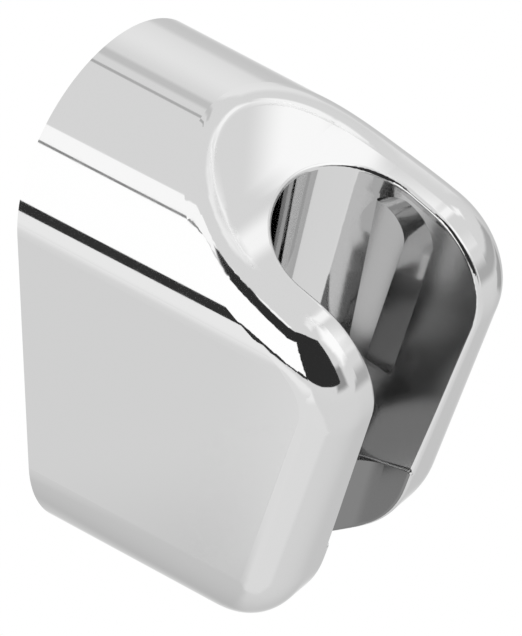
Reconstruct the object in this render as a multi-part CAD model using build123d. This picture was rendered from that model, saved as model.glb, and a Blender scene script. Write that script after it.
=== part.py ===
from build123d import *
import math
import os

os.makedirs("parts", exist_ok=True)

# Hand shower holder for a wall, in millimetres.
# The wall is the plane y = 0 and the fork points towards -Y. Heights here start at the
# underside; at the end all is lowered so that the origin is the middle of the wall screws.

# outer form
half_width = 20.0            # at the rounded top
top_centre_z = 58.8          # centre of the rounded top
low_radius = 19.0            # the flanks narrow a little towards the foot
low_centre_z = 16.1          # below this height the flanks roll under
front_foot_y = -38.0         # the front line meets the underside here
front_lean = 17.4            # degrees, the front leans out towards the top
face_y = -27.3               # a point on the slanted face
face_drop = 7.0              # below the crown
face_fall = 18.9             # degrees, the face falls towards the front
crown_y = -20.4              # the dished face meets the crown here
crown_fall = 35.0            # degrees, slope of the face behind the socket
dish_radius = 35.0           # hollow blend between the two slopes
nose_radius = 13.0           # top of the fork in side view
toe_radius = 23.0            # underside of the fork in side view
edge_round = 6.0             # soft outer edges of fork and face

# socket for the cone of the hand shower
socket_tilt = 14.5           # degrees, the cone leans forward
socket_y = -42.0             # a point on its centre line, level with the face
socket_drop = 12.1           # below the crown
mouth_radius = 11.6
cone_angle = 3.2             # degrees per side
socket_reach = 62.0          # the cone is cut down to here and ends on the shelf
socket_rise = 16.0           # and up past the face
shelf_y = -35.0              # the cone stands on this shelf
shelf_z = 17.7
shelf_rise = 12.0            # degrees, the shelf rises to the front
lip_round = 0.7              # small round on the mouth of the socket

# raised grips on both flanks of the socket: each size first where the grip leaves the flank,
# then on its flat land; lengths ahead of and up the centre line of the cone
grip_height = 0.9
grip_front = (5.9, 1.9)
grip_top = (-0.3, -3.4)      # where front and top would meet without their round
grip_round = (6.0, 4.6)
grip_rear = (-4.6, -4.0)
grip_rear_top = (-2.7, -4.2)
grip_rear_foot = (-1.6, -1.2)
grip_foot = (-32.3, -31.5)
grip_root = 0.8              # sunk this far into the flank

# notch for the hose, under the shelf
notch_half = 8.6
notch_centre = 9.5           # this far in front of the centre line of the cone
notch_top = 28.0             # it starts in the open socket, this far below the face

# moulding
wall = 2.8
fork_tip = 6.5               # the fork is cored up to this distance from its front
clear = 0.15                 # radial play of the locking screw

# wall bracket, hidden in the hollow of the body
plate = 3.0
plate_gap = 1.7              # clearance to the hollow, the body is lifted on and lowered
plate_foot = 10.5
hole_spacing = 36.0
hole_mid_z = 40.0
hole_radius = 2.3
sink_radius = 4.4
catch_drop = 9.8             # the catch of the body hangs on the hook, this far below the crown
catch_half = 8.0
catch_depth = 3.0
hook_gap = 0.5
hook_half = 9.5
hook_rise = 3.5
hook_thick = 2.4
cheek_gap = 0.3
boss_z = 9.2                 # underside of the screw boss
boss_height = 7.0
boss_half = 5.5
rib_x = 11.0
rib_half = 0.9
rib_height = 3.0
rib_reach = 14.0             # up and down from the middle
screw_y = -9.5

# locking screw and its threaded insert
screw_radius = 2.0
screw_length = 14.0
screw_drop = 0.3             # the head sits this far inside the underside
head_radius = 3.7
head_rim = 0.4
key_width = 2.5
key_depth = 1.8
screw_point = 0.5            # chamfer at its end
pad_radius = 5.7             # thicker floor around the head
pad_height = 1.6
insert_radius = 2.9
insert_length = 5.6
insert_groove = 0.3
insert_collar = 3.6
insert_collar_height = 0.8

# sizes that follow from the others
total_height = top_centre_z + half_width
face_z = total_height - face_drop
socket_z = total_height - socket_drop
catch_z = total_height - catch_drop
beyond = 2 * total_height     # cutting tools end well outside the form
catch_front = plate + hook_gap
catch_back = catch_front + catch_depth
lip_front = catch_back + hook_gap
screw_seat = screw_drop + head_rim
head_depth = head_radius - screw_radius
tilt = math.radians(socket_tilt)
taper = math.tan(math.radians(cone_angle))

# directions of the socket, the centre line of its cone points up
x_axis = (1, 0, 0)
up = Vector(0, -math.sin(tilt), math.cos(tilt))
front = Vector(0, -math.cos(tilt), -math.sin(tilt))
centre = Vector(0, socket_y, socket_z)


def form_outline(inset):
    # the form seen from the front: two arcs joined by slightly drafted flanks
    narrow = math.asin((half_width - low_radius) / (top_centre_z - low_centre_z))
    c = math.cos(narrow)
    s = math.sin(narrow)
    r_top = half_width - inset
    r_low = low_radius - inset
    top_z = top_centre_z - r_top * s
    low_z = low_centre_z - r_low * s
    with BuildSketch(Plane.XZ) as sketch:
        with BuildLine():
            ThreePointArc((-r_top * c, top_z), (0, top_centre_z + r_top), (r_top * c, top_z))
            Line((r_top * c, top_z), (r_low * c, low_z))
            ThreePointArc((r_low * c, low_z), (0, low_centre_z - r_low), (-r_low * c, low_z))
            Line((-r_low * c, low_z), (-r_top * c, top_z))
        make_face()
    return sketch.sketch


def meet(p, p_angle, q, q_angle):
    # crossing of two lines, each given by a point and its direction in degrees
    a = (math.cos(math.radians(p_angle)), math.sin(math.radians(p_angle)))
    b = (math.cos(math.radians(q_angle)), math.sin(math.radians(q_angle)))
    t = ((q[0] - p[0]) * b[1] - (q[1] - p[1]) * b[0]) / (a[0] * b[1] - a[1] * b[0])
    return (p[0] + a[0] * t, p[1] + a[1] * t)


def side_outline(inset):
    # the form seen from the side, in Y and Z
    front_angle = 90 + front_lean
    front = (front_foot_y + inset / math.cos(math.radians(front_lean)), 0)
    face = (face_y, face_z - inset / math.cos(math.radians(face_fall)))
    crown = (crown_y, total_height - inset / math.cos(math.radians(crown_fall)))
    top = total_height + 10
    foot = meet(front, front_angle, (0, inset), 0)
    nose = meet(front, front_angle, face, face_fall)
    dish = meet(face, face_fall, crown, crown_fall)
    back = meet(crown, crown_fall, (0, top), 0)
    with BuildSketch(Plane.YZ) as sketch:
        with BuildLine():
            Polyline((0, inset), foot, nose, dish, back, (0, top), close=True)
        make_face()
        rounds = ((foot, toe_radius - inset), (nose, nose_radius - inset), (dish, dish_radius + inset))
        for corner, radius in rounds:
            fillet(sketch.vertices().sort_by_distance(Vector(*corner, 0))[0], radius)
    return sketch.sketch


def solid_form(inset):
    seen_from_front = extrude(form_outline(inset), beyond, both=True)
    return seen_from_front & extrude(side_outline(inset), 2 * half_width, both=True)


def socket_space(inset):
    # a cone that is open to the front, its flat flanks keep the taper of the cone
    low = -socket_reach
    high = socket_rise
    r_low = mouth_radius + low * taper + inset
    r_high = mouth_radius + high * taper + inset
    middle = Plane(origin=centre + up * (low + high) / 2, x_dir=x_axis, z_dir=up)
    cone = middle * Cone(r_low, r_high, high - low)
    across = Plane(origin=centre, x_dir=x_axis, z_dir=front)
    flanks = Polyline((-r_low, low), (r_low, low), (r_high, high), (-r_high, high), close=True)
    channel = extrude(across * make_face(flanks), beyond)
    rise = math.radians(shelf_rise)
    level = Vector(0, math.sin(rise), math.cos(rise))
    shelf = Plane(origin=Vector(0, shelf_y, shelf_z) - level * inset, x_dir=x_axis, z_dir=level)
    return (cone + channel) & (shelf * Pos(0, 0, beyond / 2) * Box(beyond, 2 * beyond, beyond))


def notch_space(inset):
    # straight U for the hose, parallel to the cone and through the underside
    half = notch_half + inset
    below = Plane(origin=centre + front * notch_centre - up * notch_top, x_dir=x_axis, z_dir=up)
    slot = Rectangle(2 * half, beyond, align=(Align.CENTER, Align.MAX))
    return extrude(below * (Circle(half) + slot), -beyond)


def grip(side):
    # lofted from its root in the flank to its flat land, wide slopes ahead and on top
    angle = math.radians(cone_angle)
    inward = Vector(-side * math.cos(angle), 0, 0) + up * math.sin(angle)
    origin = centre + Vector(side * mouth_radius, 0, 0)

    def outline(depth):
        flank = Plane(origin=origin + inward * depth, x_dir=front, z_dir=inward)
        s = 1 if flank.y_dir.dot(up) > 0 else -1

        def at(size):
            return size[0] + (size[1] - size[0]) * depth / grip_height

        corner = (at(grip_front), s * at(grip_top))
        rear = (at(grip_rear), s * at(grip_rear_top))
        foot = s * at(grip_foot)
        rear_foot = (at(grip_rear_foot), foot)
        face = make_face(Polyline(rear_foot, (corner[0], foot), corner, rear, close=True))
        corner_point = face.vertices().sort_by_distance(Vector(*corner))[0]
        return flank * fillet(corner_point, at(grip_round))

    return loft([outline(-grip_root), outline(grip_height)])


def block(x_half, y_from, y_to, z_from, z_to):
    middle = (0, (y_from + y_to) / 2, (z_from + z_to) / 2)
    return Pos(*middle) * Box(2 * x_half, abs(y_to - y_from), abs(z_to - z_from))


def upright(radius, z_from, z_to, top_radius=None):
    # cylinder or cone on the line of the locking screw
    height = z_to - z_from
    shape = Cylinder(radius, height) if top_radius is None else Cone(radius, top_radius, height)
    return Pos(0, screw_y, z_from + height / 2) * shape


def on_skin(edge, form):
    return form.shell().distance_to(edge @ 0.5) < 0.01


def is_outer_edge(edge):
    # edges of the fork, the face and the underside; the rear and the soft blends stay out
    straight = edge.geom_type == GeomType.LINE
    across = straight and abs(edge.center().X) < 0.1
    flank_seam = straight and abs(edge.tangent_at(0.5).Y) > 0.99 and edge.center().Z > low_centre_z / 2
    return edge.center().Y < -1 and not across and not flank_seam


def body():
    form = solid_form(0)
    form = form.fillet(edge_round, [e for e in form.edges() if is_outer_edge(e)])
    tools = [socket_space(0), notch_space(0)]
    shape = form - tools[0] - tools[1]
    lip = [e for e in new_edges(form, *tools, combined=shape) if on_skin(e, form)]
    shape = shape.fillet(lip_round, lip)
    shape = shape + ((grip(1) + grip(-1)) & form)

    core = solid_form(wall) & Pos(0, fork_tip, 0) * solid_form(0)
    core = core - socket_space(wall) - notch_space(wall)
    shape = shape - core

    catch = block(catch_half, -catch_front, -catch_back, catch_z, total_height)
    pad = upright(pad_radius, wall / 2, wall + pad_height)
    shape = shape + (catch & solid_form(wall / 2)) + pad
    seat = upright(head_radius + clear, -1, screw_seat)
    sink = upright(head_radius + clear, screw_seat, screw_seat + head_depth, screw_radius + clear)
    return shape - seat - sink - upright(screw_radius + 2 * clear, 0, wall + pad_height + 1)


def wall_bracket():
    rim = wall + plate_gap
    shape = extrude(form_outline(rim), plate) & block(half_width, 0, -plate, plate_foot, total_height)
    hook_front = lip_front + hook_thick
    cradle = block(hook_half, -plate / 2, -hook_front, catch_z - hook_thick, catch_z + hook_rise)
    cradle = fillet(cradle.edges().filter_by(Axis.X).group_by(Axis.Y)[0], 0.8)
    cradle = cradle - block(catch_half + cheek_gap, -plate, -lip_front, catch_z, total_height)
    boss = block(boss_half, -plate / 2, screw_y - boss_half, boss_z, boss_z + boss_height)
    boss = fillet(boss.edges().filter_by(Axis.Z).group_by(Axis.Y)[0], 2.5)
    shape = shape + cradle + boss
    for side in (-1, 1):
        low, high = hole_mid_z - rib_reach, hole_mid_z + rib_reach
        rib = block(rib_half, -plate / 2, -plate - rib_height, low, high)
        shape = shape + Pos(side * rib_x, 0, 0) * rib
    for end in (-1, 1):
        place = Pos(0, 0, hole_mid_z + end * hole_spacing / 2) * Rot(90, 0, 0)
        depth = sink_radius - hole_radius
        hole = Pos(0, 0, plate / 2) * Cylinder(hole_radius, plate + 2)
        sink = Pos(0, 0, plate - depth / 2) * Cone(hole_radius, sink_radius, depth)
        shape = shape - place * (hole + sink)
    return shape - upright(insert_radius + 0.1, boss_z - 1, boss_z + boss_height + 1)


def turned(points, step_z):
    # solid turned about the line of the locking screw from a half outline
    face = make_face(Plane.XZ * Polyline(*points, close=True))
    return Pos(0, screw_y, step_z) * revolve(face, Axis.Z)


def thread_insert():
    bore = screw_radius + clear
    points = [(bore, -insert_collar_height), (insert_collar, -insert_collar_height), (insert_collar, 0)]
    groove = insert_radius - insert_groove
    low, high = insert_length * 0.4, insert_length * 0.6
    points += [(insert_radius, 0), (insert_radius, low), (groove, low), (groove, high)]
    points += [(insert_radius, high), (insert_radius, insert_length), (bore, insert_length)]
    return turned(points, boss_z)


def locking_screw():
    # countersunk screw with an inner hexagon, its thread left plain
    seat = screw_seat - screw_drop
    points = [(0, 0), (head_radius, 0), (head_radius, seat), (screw_radius, seat + head_depth)]
    points += [(screw_radius, screw_length - screw_point), (screw_radius - screw_point, screw_length)]
    points += [(0, screw_length)]
    key = Pos(0, screw_y, screw_drop) * extrude(RegularPolygon(key_width / math.sqrt(3), 6), key_depth)
    return turned(points, screw_drop) - key


nodes = {
    "holder_body": body(),
    "wall_bracket": wall_bracket(),
    "thread_insert": thread_insert(),
    "locking_screw": locking_screw(),
}
for name, shape in nodes.items():
    shape = Pos(0, 0, -hole_mid_z) * shape
    export_step(shape, f"parts/{name}.step")
    print(name, round(shape.volume), "mm3", len(shape.solids()), "solid", shape.is_valid)
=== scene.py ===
import math
import bpy
from mathutils import Matrix, Vector

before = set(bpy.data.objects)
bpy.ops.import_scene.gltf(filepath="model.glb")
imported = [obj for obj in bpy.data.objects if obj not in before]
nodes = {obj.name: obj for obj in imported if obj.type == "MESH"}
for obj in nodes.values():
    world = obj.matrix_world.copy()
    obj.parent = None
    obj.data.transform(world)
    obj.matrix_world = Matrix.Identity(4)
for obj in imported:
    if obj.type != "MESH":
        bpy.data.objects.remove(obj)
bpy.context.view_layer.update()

scene = bpy.context.scene


def toLinear(hexColour):
    # sRGB hex to the linear colour that the shaders use
    parts = [int(hexColour[i:i + 2], 16) / 255 for i in (1, 3, 5)]
    linear = [c / 12.92 if c <= 0.04045 else ((c + 0.055) / 1.055) ** 2.4 for c in parts]
    return (*linear, 1.0)


def addNode(tree, kind, settings=None, links=None, values=None):
    # one node with its settings, its fixed values and what feeds it
    node = tree.nodes.new(kind)
    for name, value in (settings or {}).items():
        setattr(node, name, value)
    for name, value in (values or {}).items():
        node.inputs[name].default_value = value
    for name, source in (links or {}).items():
        tree.links.new(source, node.inputs[name])
    return node


def startMaterial(name):
    material = bpy.data.materials.new(name)
    material.use_nodes = True
    material.node_tree.nodes.clear()
    return material, material.node_tree


def finishMaterial(tree, shader):
    output = addNode(tree, "ShaderNodeOutputMaterial")
    tree.links.new(shader.outputs[0], output.inputs["Surface"])


def millimetrePosition(tree):
    # position on the part in millimetres, so that every pattern has its real size
    place = addNode(tree, "ShaderNodeTexCoord")
    return addNode(tree, "ShaderNodeVectorMath", {"operation": "SCALE"},
                   {0: place.outputs["Object"]}, {"Scale": 1000.0})


def dress(nodeName, material):
    # the CAD node keeps its shape and gets the finish of the real piece
    piece = nodes[nodeName]
    piece.data.materials.clear()
    piece.data.materials.append(material)
    print("dressed", nodeName, "in", material.name)


# holder body: ABS moulded and bright chrome plated
platedBody = {
    "colour": "#C8C8C8",
    "grazing": "#D8D8D8",       # real chrome stays a little darker towards its outline
    "waveLength": 9.0,          # mm, slow waviness that a moulding keeps under its plating
    "waveHeight": 0.0016,       # mm
    "waveDetail": 1.0,
    "waveRoughness": 0.4,
    "hazeSize": 3.0,            # mm, patches of a little more haze
    "hazeDetail": 3.0,
    "hazeSpread": (0.3, 0.7),   # the part of the noise that the haze follows
    "hazeRange": (0.03, 0.06),  # roughness between which the outside changes
    "socketHaze": 0.06,         # the inside of the socket is plated over an unpolished core
    "wallHaze": 0.16,           # its side walls, out of a polishing wheel's reach, are hazier
    "wallPaintedLight": "#E2E2E2",    # and painted paler, to lift the shade of their reflections in each other
    # painted light: a paler colour for the grips on the side walls, lifting the shade of their
    # reflections
    "gripPaintedLight": "#D8D8D8",
    "notchPaintedShade": "#767676",   # painted shade: a darker colour inside the notch for the hose
    "socketHalf": 12.4,         # mm, half the width of the socket
    "socketRear": -27.0,        # mm, the socket lies in front of this
    "faceSlope": 0.3424,        # rise of the slanted face per length
    "faceLevel": 39.9,          # mm, its height on the wall plane, less the round of the mouth
    "wallTurn": (0.972, 0.995),     # how squarely a face looks sideways to count as a side wall
    "gripFace": (9.7, 10.0),    # mm from the middle, what is nearer is a grip and not a wall
    "wallTaper": 0.052,         # how much further out the walls are per height
    "notchHalf": 8.75,          # mm, half the width of the notch
    "notchMiddle": -29.1,       # mm, height of its middle
    "notchReach": 9.6,          # mm, how far it reaches up and down from there
}


def makeChrome(look):
    # mirror-like plating: crisp dark and white bands, bent a little by the moulding below
    material, tree = startMaterial("brightChromeOnMouldedAbs")
    place = millimetrePosition(tree)
    wave = addNode(tree, "ShaderNodeTexNoise", {},
                   {"Vector": place.outputs[0]},
                   {"Scale": 1 / look["waveLength"], "Detail": look["waveDetail"],
                    "Roughness": look["waveRoughness"]})
    bump = addNode(tree, "ShaderNodeBump", {}, {"Height": wave.outputs["Fac"]},
                   {"Strength": 1.0, "Distance": look["waveHeight"] / 1000})
    haze = addNode(tree, "ShaderNodeTexNoise", {},
                   {"Vector": place.outputs[0]},
                   {"Scale": 1 / look["hazeSize"], "Detail": look["hazeDetail"]})
    start, end = look["hazeSpread"]
    clear, hazy = look["hazeRange"]
    hazeLevel = addNode(tree, "ShaderNodeMapRange", {}, {"Value": haze.outputs["Fac"]},
                        {"From Min": start, "From Max": end, "To Min": clear, "To Max": hazy})

    # the socket: between its sides, in front of its rear and below the slanted face
    where = addNode(tree, "ShaderNodeSeparateXYZ", {}, {0: place.outputs[0]})
    aside = addNode(tree, "ShaderNodeMath", {"operation": "ABSOLUTE"}, {0: where.outputs["X"]})
    within = addNode(tree, "ShaderNodeMath", {"operation": "LESS_THAN"}, {0: aside.outputs[0]},
                     {1: look["socketHalf"]})
    ahead = addNode(tree, "ShaderNodeMath", {"operation": "LESS_THAN"}, {0: where.outputs["Y"]},
                    {1: look["socketRear"]})
    level = addNode(tree, "ShaderNodeMath", {"operation": "MULTIPLY_ADD"},
                    {0: where.outputs["Y"], 2: where.outputs["Z"]}, {1: -look["faceSlope"]})
    below = addNode(tree, "ShaderNodeMath", {"operation": "LESS_THAN"}, {0: level.outputs[0]},
                    {1: look["faceLevel"]})
    inside = addNode(tree, "ShaderNodeMath", {"operation": "MULTIPLY"},
                     {0: within.outputs[0], 1: ahead.outputs[0]})
    socket = addNode(tree, "ShaderNodeMath", {"operation": "MULTIPLY"},
                     {0: inside.outputs[0], 1: below.outputs[0]})

    # its side walls and the grips that stand on them: hazier, and painted paler to lift the shade
    # of their reflections in each other
    surface = addNode(tree, "ShaderNodeNewGeometry")
    facing = addNode(tree, "ShaderNodeSeparateXYZ", {}, {0: surface.outputs["Normal"]})
    sideways = addNode(tree, "ShaderNodeMath", {"operation": "ABSOLUTE"}, {0: facing.outputs["X"]})
    start, end = look["wallTurn"]
    wall = addNode(tree, "ShaderNodeMapRange", {"interpolation_type": "SMOOTHSTEP"},
                   {"Value": sideways.outputs[0], "To Max": socket.outputs[0]},
                   {"From Min": start, "From Max": end})
    proud = addNode(tree, "ShaderNodeMath", {"operation": "MULTIPLY_ADD"},
                    {0: where.outputs["Z"], 2: aside.outputs[0]}, {1: -look["wallTaper"]})
    near, far = look["gripFace"]
    onGrip = addNode(tree, "ShaderNodeMapRange", {}, {"Value": proud.outputs[0]},
                     {"From Min": near, "From Max": far, "To Min": 1.0, "To Max": 0.0})
    # painted light: wall and grip colours set for the brightness of their reflections in each
    # other
    paintedSideLight = addNode(tree, "ShaderNodeMix", {"data_type": "RGBA"},
                         {"Factor": onGrip.outputs[0]},
                         {"A": toLinear(look["wallPaintedLight"]), "B": toLinear(look["gripPaintedLight"])})
    plating = addNode(tree, "ShaderNodeMix", {"data_type": "RGBA"},
                      {"Factor": wall.outputs[0], "B": paintedSideLight.outputs["Result"]},
                      {"A": toLinear(look["colour"])})

    # painted shade in the notch for the hose at the foot of the socket
    narrow = addNode(tree, "ShaderNodeMath", {"operation": "LESS_THAN"}, {0: aside.outputs[0]},
                     {1: look["notchHalf"]})
    low = addNode(tree, "ShaderNodeMath", {"operation": "COMPARE"}, {0: where.outputs["Z"]},
                  {1: look["notchMiddle"], 2: look["notchReach"]})
    slot = addNode(tree, "ShaderNodeMath", {"operation": "MULTIPLY"},
                   {0: narrow.outputs[0], 1: low.outputs[0]})
    notch = addNode(tree, "ShaderNodeMath", {"operation": "MULTIPLY"},
                    {0: slot.outputs[0], 1: socket.outputs[0]})
    # the painted shade of the notch goes into the colour here
    colour = addNode(tree, "ShaderNodeMix", {"data_type": "RGBA"},
                     {"Factor": notch.outputs[0], "A": plating.outputs["Result"]},
                     {"B": toLinear(look["notchPaintedShade"])})

    polish = addNode(tree, "ShaderNodeMix", {"data_type": "FLOAT"},
                     {0: socket.outputs[0], 2: hazeLevel.outputs[0]}, {3: look["socketHaze"]})
    roughness = addNode(tree, "ShaderNodeMix", {"data_type": "FLOAT"},
                        {0: wall.outputs[0], 2: polish.outputs[0]}, {3: look["wallHaze"]})
    shader = addNode(tree, "ShaderNodeBsdfPrincipled", {},
                     {"Base Color": colour.outputs["Result"], "Roughness": roughness.outputs[0],
                      "Normal": bump.outputs["Normal"]},
                     {"Metallic": 1.0, "Specular Tint": toLinear(look["grazing"])})
    finishMaterial(tree, shader)
    return material


dress("holder_body", makeChrome(platedBody))


# wall bracket: glass-filled nylon with a fine spark-eroded skin
bracketPlastic = {
    "colour": "#33363A",
    "paleColour": "#3C4044",
    "roughness": 0.55,
    "refraction": 1.53,     # index of refraction of nylon
    "grainSize": 0.35,      # mm, grain of the mould, drawn a little coarse so that it shows
    "grainHeight": 0.02,    # mm
    "grainStrength": 0.6,
    "grainDetail": 2.0,
    "flowSize": 12.0,       # mm, faint flow clouds
    "flowDetail": 2.0,
}


def makeNylon(look):
    # matt dark plastic with a fine even grain that breaks up the highlights
    material, tree = startMaterial("mattGlassFilledNylon")
    place = millimetrePosition(tree)
    grain = addNode(tree, "ShaderNodeTexNoise", {},
                    {"Vector": place.outputs[0]},
                    {"Scale": 1 / look["grainSize"], "Detail": look["grainDetail"]})
    flow = addNode(tree, "ShaderNodeTexNoise", {},
                   {"Vector": place.outputs[0]},
                   {"Scale": 1 / look["flowSize"], "Detail": look["flowDetail"]})
    colour = addNode(tree, "ShaderNodeMix", {"data_type": "RGBA"},
                     {"Factor": flow.outputs["Fac"]},
                     {"A": toLinear(look["colour"]), "B": toLinear(look["paleColour"])})
    bump = addNode(tree, "ShaderNodeBump", {}, {"Height": grain.outputs["Fac"]},
                   {"Strength": look["grainStrength"],
                    "Distance": look["grainHeight"] / 1000})
    shader = addNode(tree, "ShaderNodeBsdfPrincipled", {},
                     {"Base Color": colour.outputs["Result"], "Normal": bump.outputs["Normal"]},
                     {"Roughness": look["roughness"], "IOR": look["refraction"]})
    finishMaterial(tree, shader)
    return material


dress("wall_bracket", makeNylon(bracketPlastic))


# locking screw and its insert: turned metal, their threads and tool marks as fine rings
turnedMetal = {
    "locking_screw": {
        "name": "brightTurnedStainlessSteel",
        "colour": "#C9CACB",
        "roughness": 0.22,
        "ringSpacing": 0.7,     # mm, pitch of the thread
        "ringHeight": 0.12,     # mm
        "ringStrength": 0.8,
    },
    "thread_insert": {
        "name": "turnedBrass",
        "colour": "#D9B566",
        "roughness": 0.28,
        "ringSpacing": 0.35,    # mm, tool marks, coarser than real so that they show
        "ringHeight": 0.02,     # mm
        "ringStrength": 0.8,
    },
}


def makeTurnedMetal(look):
    # rings round the turning axis catch the light as thin bright lines
    material, tree = startMaterial(look["name"])
    place = millimetrePosition(tree)
    bandLength = math.pi / 10   # of the wave texture at a scale of 1
    rings = addNode(tree, "ShaderNodeTexWave",
                    {"wave_type": "BANDS", "bands_direction": "Z", "wave_profile": "TRI"},
                    {"Vector": place.outputs[0]},
                    {"Scale": bandLength / look["ringSpacing"], "Distortion": 0.0})
    bump = addNode(tree, "ShaderNodeBump", {}, {"Height": rings.outputs["Fac"]},
                   {"Strength": look["ringStrength"],
                    "Distance": look["ringHeight"] / 1000})
    shader = addNode(tree, "ShaderNodeBsdfPrincipled", {},
                     {"Normal": bump.outputs["Normal"]},
                     {"Base Color": toLinear(look["colour"]), "Metallic": 1.0,
                      "Roughness": look["roughness"]})
    finishMaterial(tree, shader)
    return material


for nodeName, look in turnedMetal.items():
    dress(nodeName, makeTurnedMetal(look))


# studio: a pale tent, one white softbox at the left and a dark opening on the camera's side
studio = {
    "middle": (0, -0.03, 0),    # metres, what the cards and lamps stand round
    "background": 1.0,          # what the camera sees behind the part
    "tentTop": "#D4D4D4",
    "tentFloor": "#D2D2D2",
    "tentTurn": (-0.5, -0.2),   # steepness of a direction between which floor turns to tent
    "softFill": 0.75,
    "floorColour": "#F2F2F2",
    "floorHeight": -0.30,       # metres
    "floorSize": 6.0,
    "chromeShare": 0.58,        # the chrome throws back this share of what a card shows
    "cornerLimit": 0.5,         # a card's sharp corner fades over twice its width at most
}

# each card: its corners as (azimuth from +Y towards +X, height) in degrees, how bright it looks
# in the chrome, how many degrees its edge fades, and its distance in metres, where a near card
# shows only in a part of a flat face and a nearer one covers those behind it
cards = {
    # the softbox, its rounded upper edge and the thin grey line between them
    "softboxLeft": ([(-104, -7), (-104, 40), (-84, 42), (-81, 47), (-73, 42.5), (-65, 35.5),
                     (-57, 27), (-45, 18), (-45, -16), (-60, -16)], "#FFFFFF", 0.4, 14.0),
    "softboxUpperEdge": ([(-45, 20), (-57, 28.7), (-65, 37.2), (-73, 43.9), (-81, 48), (-87, 49),
                          (-92.5, 56.5), (-96, 60), (-90, 61.5), (-79, 60), (-65, 51.5),
                          (-56, 42), (-51, 38.5), (-40, 32)], "#F7F7F7", 0.8, 14.0),
    "gapAtUpperEdge": ([(-45, 18), (-57, 27), (-65, 35.5), (-73, 42.5), (-78, 45.6), (-78, 46.4),
                        (-73, 43.9), (-65, 37.2), (-57, 28.7), (-45, 20)], "#808080", 0.3, 13.72),
    # the dark opening, a flag close to the part that carries it on along the rim, the horizon
    "openingAtCamera": ([(-104, -9), (-104, 40), (-98, 42), (-100, 52), (-108, 58), (-130, 60),
                         (-168, 54), (-171, 0)], "#2C2C2C", 1.0, 13.44),
    "flagBesideOpening": ([(-87.5, 46.5), (-89.5, 53), (-92.5, 58), (-96, 60), (-97, 57),
                           (-100, 55), (-106, 54.5), (-115, 54), (-112, 42), (-101, 40),
                           (-96, 41.5), (-92, 43.5)], "#2C2C2C", 0.8, 0.09996),
    "gapAboveFloor": ([(-104, -7), (-60, -16), (-45, -18), (-45, -27), (-60, -22.5),
                       (-80, -15.5), (-104, -11)], "#303030", 0.4, 13.16),
    # soft lights on the dish, the rims, the prong's tip and the nose
    "lightOnFace": ([(126, 58.5), (126, 60), (117, 60), (112, 58.5), (115, 56.5), (122, 57)],
                    "#F8F8F8", 4.5, 0.0798),
    "lightAtDishTop": ([(108, 36), (114, 36), (114, 41), (108, 41)], "#F4F4F4", 6.0, 14.0),
    "rimStreakFirst": ([(114, 49), (128, 62), (123, 65), (110, 52)], "#F4F4F4", 6.0, 14.0),
    "rimStreakMiddle": ([(127, 62), (143, 68.5), (141, 72), (122, 66)], "#E4E4E4", 8.0, 13.986),
    "rimStreakLast": ([(142, 69), (180, 71.5), (180, 74.5), (140, 72.5)], "#EAEAEA", 6.0, 13.972),
    "lightAtTip": ([(160, 51), (172, 50), (177, 42), (174, 37), (166, 35), (160, 41)], "#FCFCFC",
                   8.0, 0.09996),
    "lightAtNose": ([(150, 24), (160, 22), (164, 50), (150, 54)], "#FAFAFA", 12.0, 13.72),
    # greys at the right and beside the opening
    "shadeRight": ([(98, -14), (148, -14), (140, -3), (100, -5)], "#A8A8A8", 9.0, 13.86),
    "shadeRightLow": ([(95, -25), (112, -27), (112, -36), (92, -40)], "#A6A6A6", 5.0, 14.0),
    "shadeBesideOpening": ([(178, -4), (180, 14), (195, 14), (195, -6)], "#909090", 8.0, 13.58),
    # the top and the right of the tent
    "seamInTentTop": ([(24, 45), (27, 45), (43, 70), (40, 70)], "#A8A8A8", 0.4, 13.72),
    "shadeBesideSeam": ([(38, 42), (42, 42), (58, 66), (54, 66)], "#BEBEBE", 3.0, 13.86),
    "tentRight": ([(58, 5), (75, 5), (75, 40), (58, 40)], "#E4E4E4", 9.0, 14.0),
    # the floor
    "glowUnderHorizon": ([(-45, -28), (-60, -25), (-90, -22), (-100, -22), (-100, -28),
                          (-60, -33), (-45, -34)], "#E8E8E8", 6.0, 13.86),
    "floorGlowLeft": ([(-55, -38), (-100, -28), (-115, -45), (-130, -62), (-90, -66), (-60, -52)],
                      "#DADADA", 6.0, 14.0),
    "glowAtFrontCorner": ([(-67, -40), (-67, -44), (-78, -47), (-78, -39)], "#DBDBDB", 8.0, 0.14),
    "floorShadeNear": ([(-20, -52), (-30, -49), (-62, -49), (-60, -60), (0, -70)],
                       "#C4C4C4", 9.0, 0.147),
}


def direction(azimuth, height):
    a, h = math.radians(azimuth), math.radians(height)
    return Vector((math.sin(a) * math.cos(h), math.cos(a) * math.cos(h), math.sin(h)))


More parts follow.
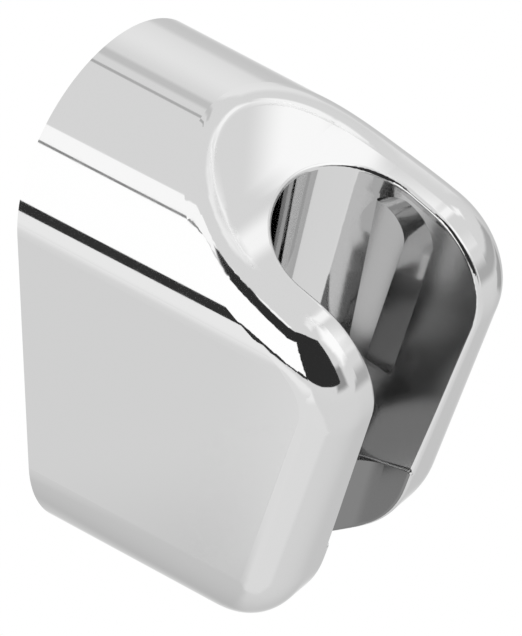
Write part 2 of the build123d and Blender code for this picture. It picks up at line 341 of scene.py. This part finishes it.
def makeCard(name, corners, colour, soft, distance):
    # a plain glowing card that only the chrome sees, clear at the rim so that its edge fades
    middle = Vector(studio["middle"])
    inner = [direction(*corner) for corner in corners]
    heart = sum(inner, Vector()).normalized()
    ahead = inner[1:] + inner[:1]
    turn = 1 if sum((a.cross(b) for a, b in zip(inner, ahead)), Vector()).dot(heart) > 0 else -1
    sides = [(b - a).cross(a).normalized() * turn for a, b in zip(inner, ahead)]
    outer = []
    for here, sideBefore, sideAfter in zip(inner, sides[-1:] + sides[:-1], sides):
        away = (sideBefore + sideAfter).normalized()
        spread = math.tan(math.radians(soft)) / max(away.dot(sideAfter), studio["cornerLimit"])
        outer.append((here + away * spread).normalized())
    count = len(inner)
    mesh = bpy.data.meshes.new(name)
    faces = [list(range(count))]
    faces += [(i, (i + 1) % count, count + (i + 1) % count, count + i) for i in range(count)]
    mesh.from_pydata([middle + point * distance for point in inner + outer], [], faces)
    cover = mesh.attributes.new("cover", "FLOAT", "POINT")
    cover.data.foreach_set("value", [1.0] * count + [0.0] * count)
    card = bpy.data.objects.new(name, mesh)
    scene.collection.objects.link(card)
    material, tree = startMaterial(name + "Paper")
    strength = 1 / studio["chromeShare"]
    share = addNode(tree, "ShaderNodeAttribute", {"attribute_name": "cover"})
    smooth = addNode(tree, "ShaderNodeMapRange", {"interpolation_type": "SMOOTHSTEP"},
                     {"Value": share.outputs["Fac"]})
    clear = addNode(tree, "ShaderNodeBsdfTransparent")
    glow = addNode(tree, "ShaderNodeEmission", {}, {},
                   {"Color": toLinear(colour), "Strength": strength})
    both = addNode(tree, "ShaderNodeMixShader", {}, {0: smooth.outputs[0], 1: clear.outputs[0],
                                                     2: glow.outputs[0]})
    finishMaterial(tree, both)
    material.cycles.emission_sampling = "NONE"
    mesh.materials.append(material)
    card.visible_camera = False
    card.visible_diffuse = False
    card.visible_shadow = False


for name, (corners, colour, soft, distance) in cards.items():
    makeCard(name, corners, colour, soft, distance)


def makeWorld():
    # white behind the part, the pale tent in the chrome, soft even light on all else
    world = bpy.data.worlds.new("paleTent")
    scene.world = world
    world.use_nodes = True
    tree = world.node_tree
    tree.nodes.clear()
    ray = addNode(tree, "ShaderNodeLightPath")
    place = addNode(tree, "ShaderNodeTexCoord")
    split = addNode(tree, "ShaderNodeSeparateXYZ", {}, {0: place.outputs["Generated"]})
    start, end = studio["tentTurn"]
    level = addNode(tree, "ShaderNodeMapRange", {"interpolation_type": "SMOOTHSTEP"},
                    {"Value": split.outputs["Z"]}, {"From Min": start, "From Max": end})
    tent = addNode(tree, "ShaderNodeMix", {"data_type": "RGBA"},
                   {"Factor": level.outputs["Result"]},
                   {"A": toLinear(studio["tentFloor"]), "B": toLinear(studio["tentTop"])})
    inChrome = addNode(tree, "ShaderNodeBackground", {}, {"Color": tent.outputs["Result"]},
                       {"Strength": 1 / studio["chromeShare"]})
    fill = addNode(tree, "ShaderNodeBackground", {}, {},
                   {"Color": (1, 1, 1, 1), "Strength": studio["softFill"]})
    behind = addNode(tree, "ShaderNodeBackground", {}, {},
                     {"Color": (1, 1, 1, 1), "Strength": studio["background"]})
    lit = addNode(tree, "ShaderNodeMixShader", {}, {0: ray.outputs["Is Glossy Ray"],
                  1: fill.outputs[0], 2: inChrome.outputs[0]})
    through = addNode(tree, "ShaderNodeMath", {"operation": "MAXIMUM"},
                      {0: ray.outputs["Is Camera Ray"], 1: ray.outputs["Is Transmission Ray"]})
    seen = addNode(tree, "ShaderNodeMixShader", {}, {0: through.outputs[0],
                   1: lit.outputs[0], 2: behind.outputs[0]})
    output = addNode(tree, "ShaderNodeOutputWorld")
    tree.links.new(seen.outputs[0], output.inputs["Surface"])


makeWorld()


def makeFloor():
    # plain pale floor far below, white to the camera and clear from underneath
    half = studio["floorSize"] / 2
    z = studio["floorHeight"]
    mesh = bpy.data.meshes.new("paleFloor")
    mesh.from_pydata([(-half, -half, z), (half, -half, z), (half, half, z), (-half, half, z)], [],
                     [(0, 1, 2, 3)])
    floor = bpy.data.objects.new("paleFloor", mesh)
    scene.collection.objects.link(floor)
    material, tree = startMaterial("paleFloorPaper")
    ray = addNode(tree, "ShaderNodeLightPath")
    side = addNode(tree, "ShaderNodeNewGeometry")
    paper = addNode(tree, "ShaderNodeBsdfDiffuse", {}, {},
                    {"Color": toLinear(studio["floorColour"])})
    white = addNode(tree, "ShaderNodeEmission", {}, {}, {"Strength": studio["background"]})
    clear = addNode(tree, "ShaderNodeBsdfTransparent")
    top = addNode(tree, "ShaderNodeMixShader", {}, {0: ray.outputs["Is Camera Ray"],
                  1: paper.outputs[0], 2: white.outputs[0]})
    both = addNode(tree, "ShaderNodeMixShader", {}, {0: side.outputs["Backfacing"],
                   1: top.outputs[0], 2: clear.outputs[0]})
    finishMaterial(tree, both)
    mesh.materials.append(material)
    floor.visible_glossy = False


makeFloor()

softLamps = {
    "lampLeft": {"place": (-0.9, -0.7, 0.9), "size": 0.8, "power": 6.0},
    "lampRight": {"place": (0.9, -0.9, 0.7), "size": 0.8, "power": 4.0},
}


def aim(thing, place, target):
    thing.location = place
    thing.rotation_euler = (Vector(target) - Vector(place)).to_track_quat("-Z", "Y").to_euler()


for name, lamp in softLamps.items():
    light = bpy.data.lights.new(name, "AREA")
    light.size = lamp["size"]
    light.energy = lamp["power"]
    lampObject = bpy.data.objects.new(name, light)
    scene.collection.objects.link(lampObject)
    aim(lampObject, lamp["place"], studio["middle"])
    lampObject.visible_glossy = False
print("studio ready:", len(cards), "cards and", len(softLamps), "lamps")


# camera: far away with a long lens, as the photograph is nearly parallel
cameraView = {
    "yaw": 50.385,           # degrees, from the wall's normal
    "pitch": 41.976,         # degrees, looking down
    "roll": 0.972,
    "distance": 2.6,         # metres
    "farClip": 100.0,
    "frameWidth": 0.070192,  # metres across the picture at the part
    "middle": (0.0, -0.02273, -0.01381),
    "toRight": 0.002037,
    "toTop": 0.011716,
    "sensor": 36.0,
}


def makeCamera(look):
    yaw, pitch, roll = (math.radians(look[key]) for key in ("yaw", "pitch", "roll"))
    ahead = Vector((math.sin(yaw) * math.cos(pitch), math.cos(yaw) * math.cos(pitch),
                    -math.sin(pitch)))
    level = Vector((math.cos(yaw), -math.sin(yaw), 0))
    upward = level.cross(ahead)
    right = level * math.cos(roll) - upward * math.sin(roll)
    top = level * math.sin(roll) + upward * math.cos(roll)
    target = Vector(look["middle"]) + level * look["toRight"] + upward * look["toTop"]
    data = bpy.data.cameras.new("longLensCamera")
    data.type = "PERSP"
    data.sensor_fit = "HORIZONTAL"
    data.sensor_width = look["sensor"]
    data.lens = look["sensor"] * look["distance"] / look["frameWidth"]
    data.clip_end = look["farClip"]
    camera = bpy.data.objects.new("longLensCamera", data)
    scene.collection.objects.link(camera)
    turn = Matrix((right, top, -ahead)).transposed()
    camera.matrix_world = Matrix.Translation(target - ahead * look["distance"]) @ turn.to_4x4()
    scene.camera = camera
    print("camera lens", round(data.lens), "mm")


makeCamera(cameraView)
scene.view_settings.view_transform = "Standard"
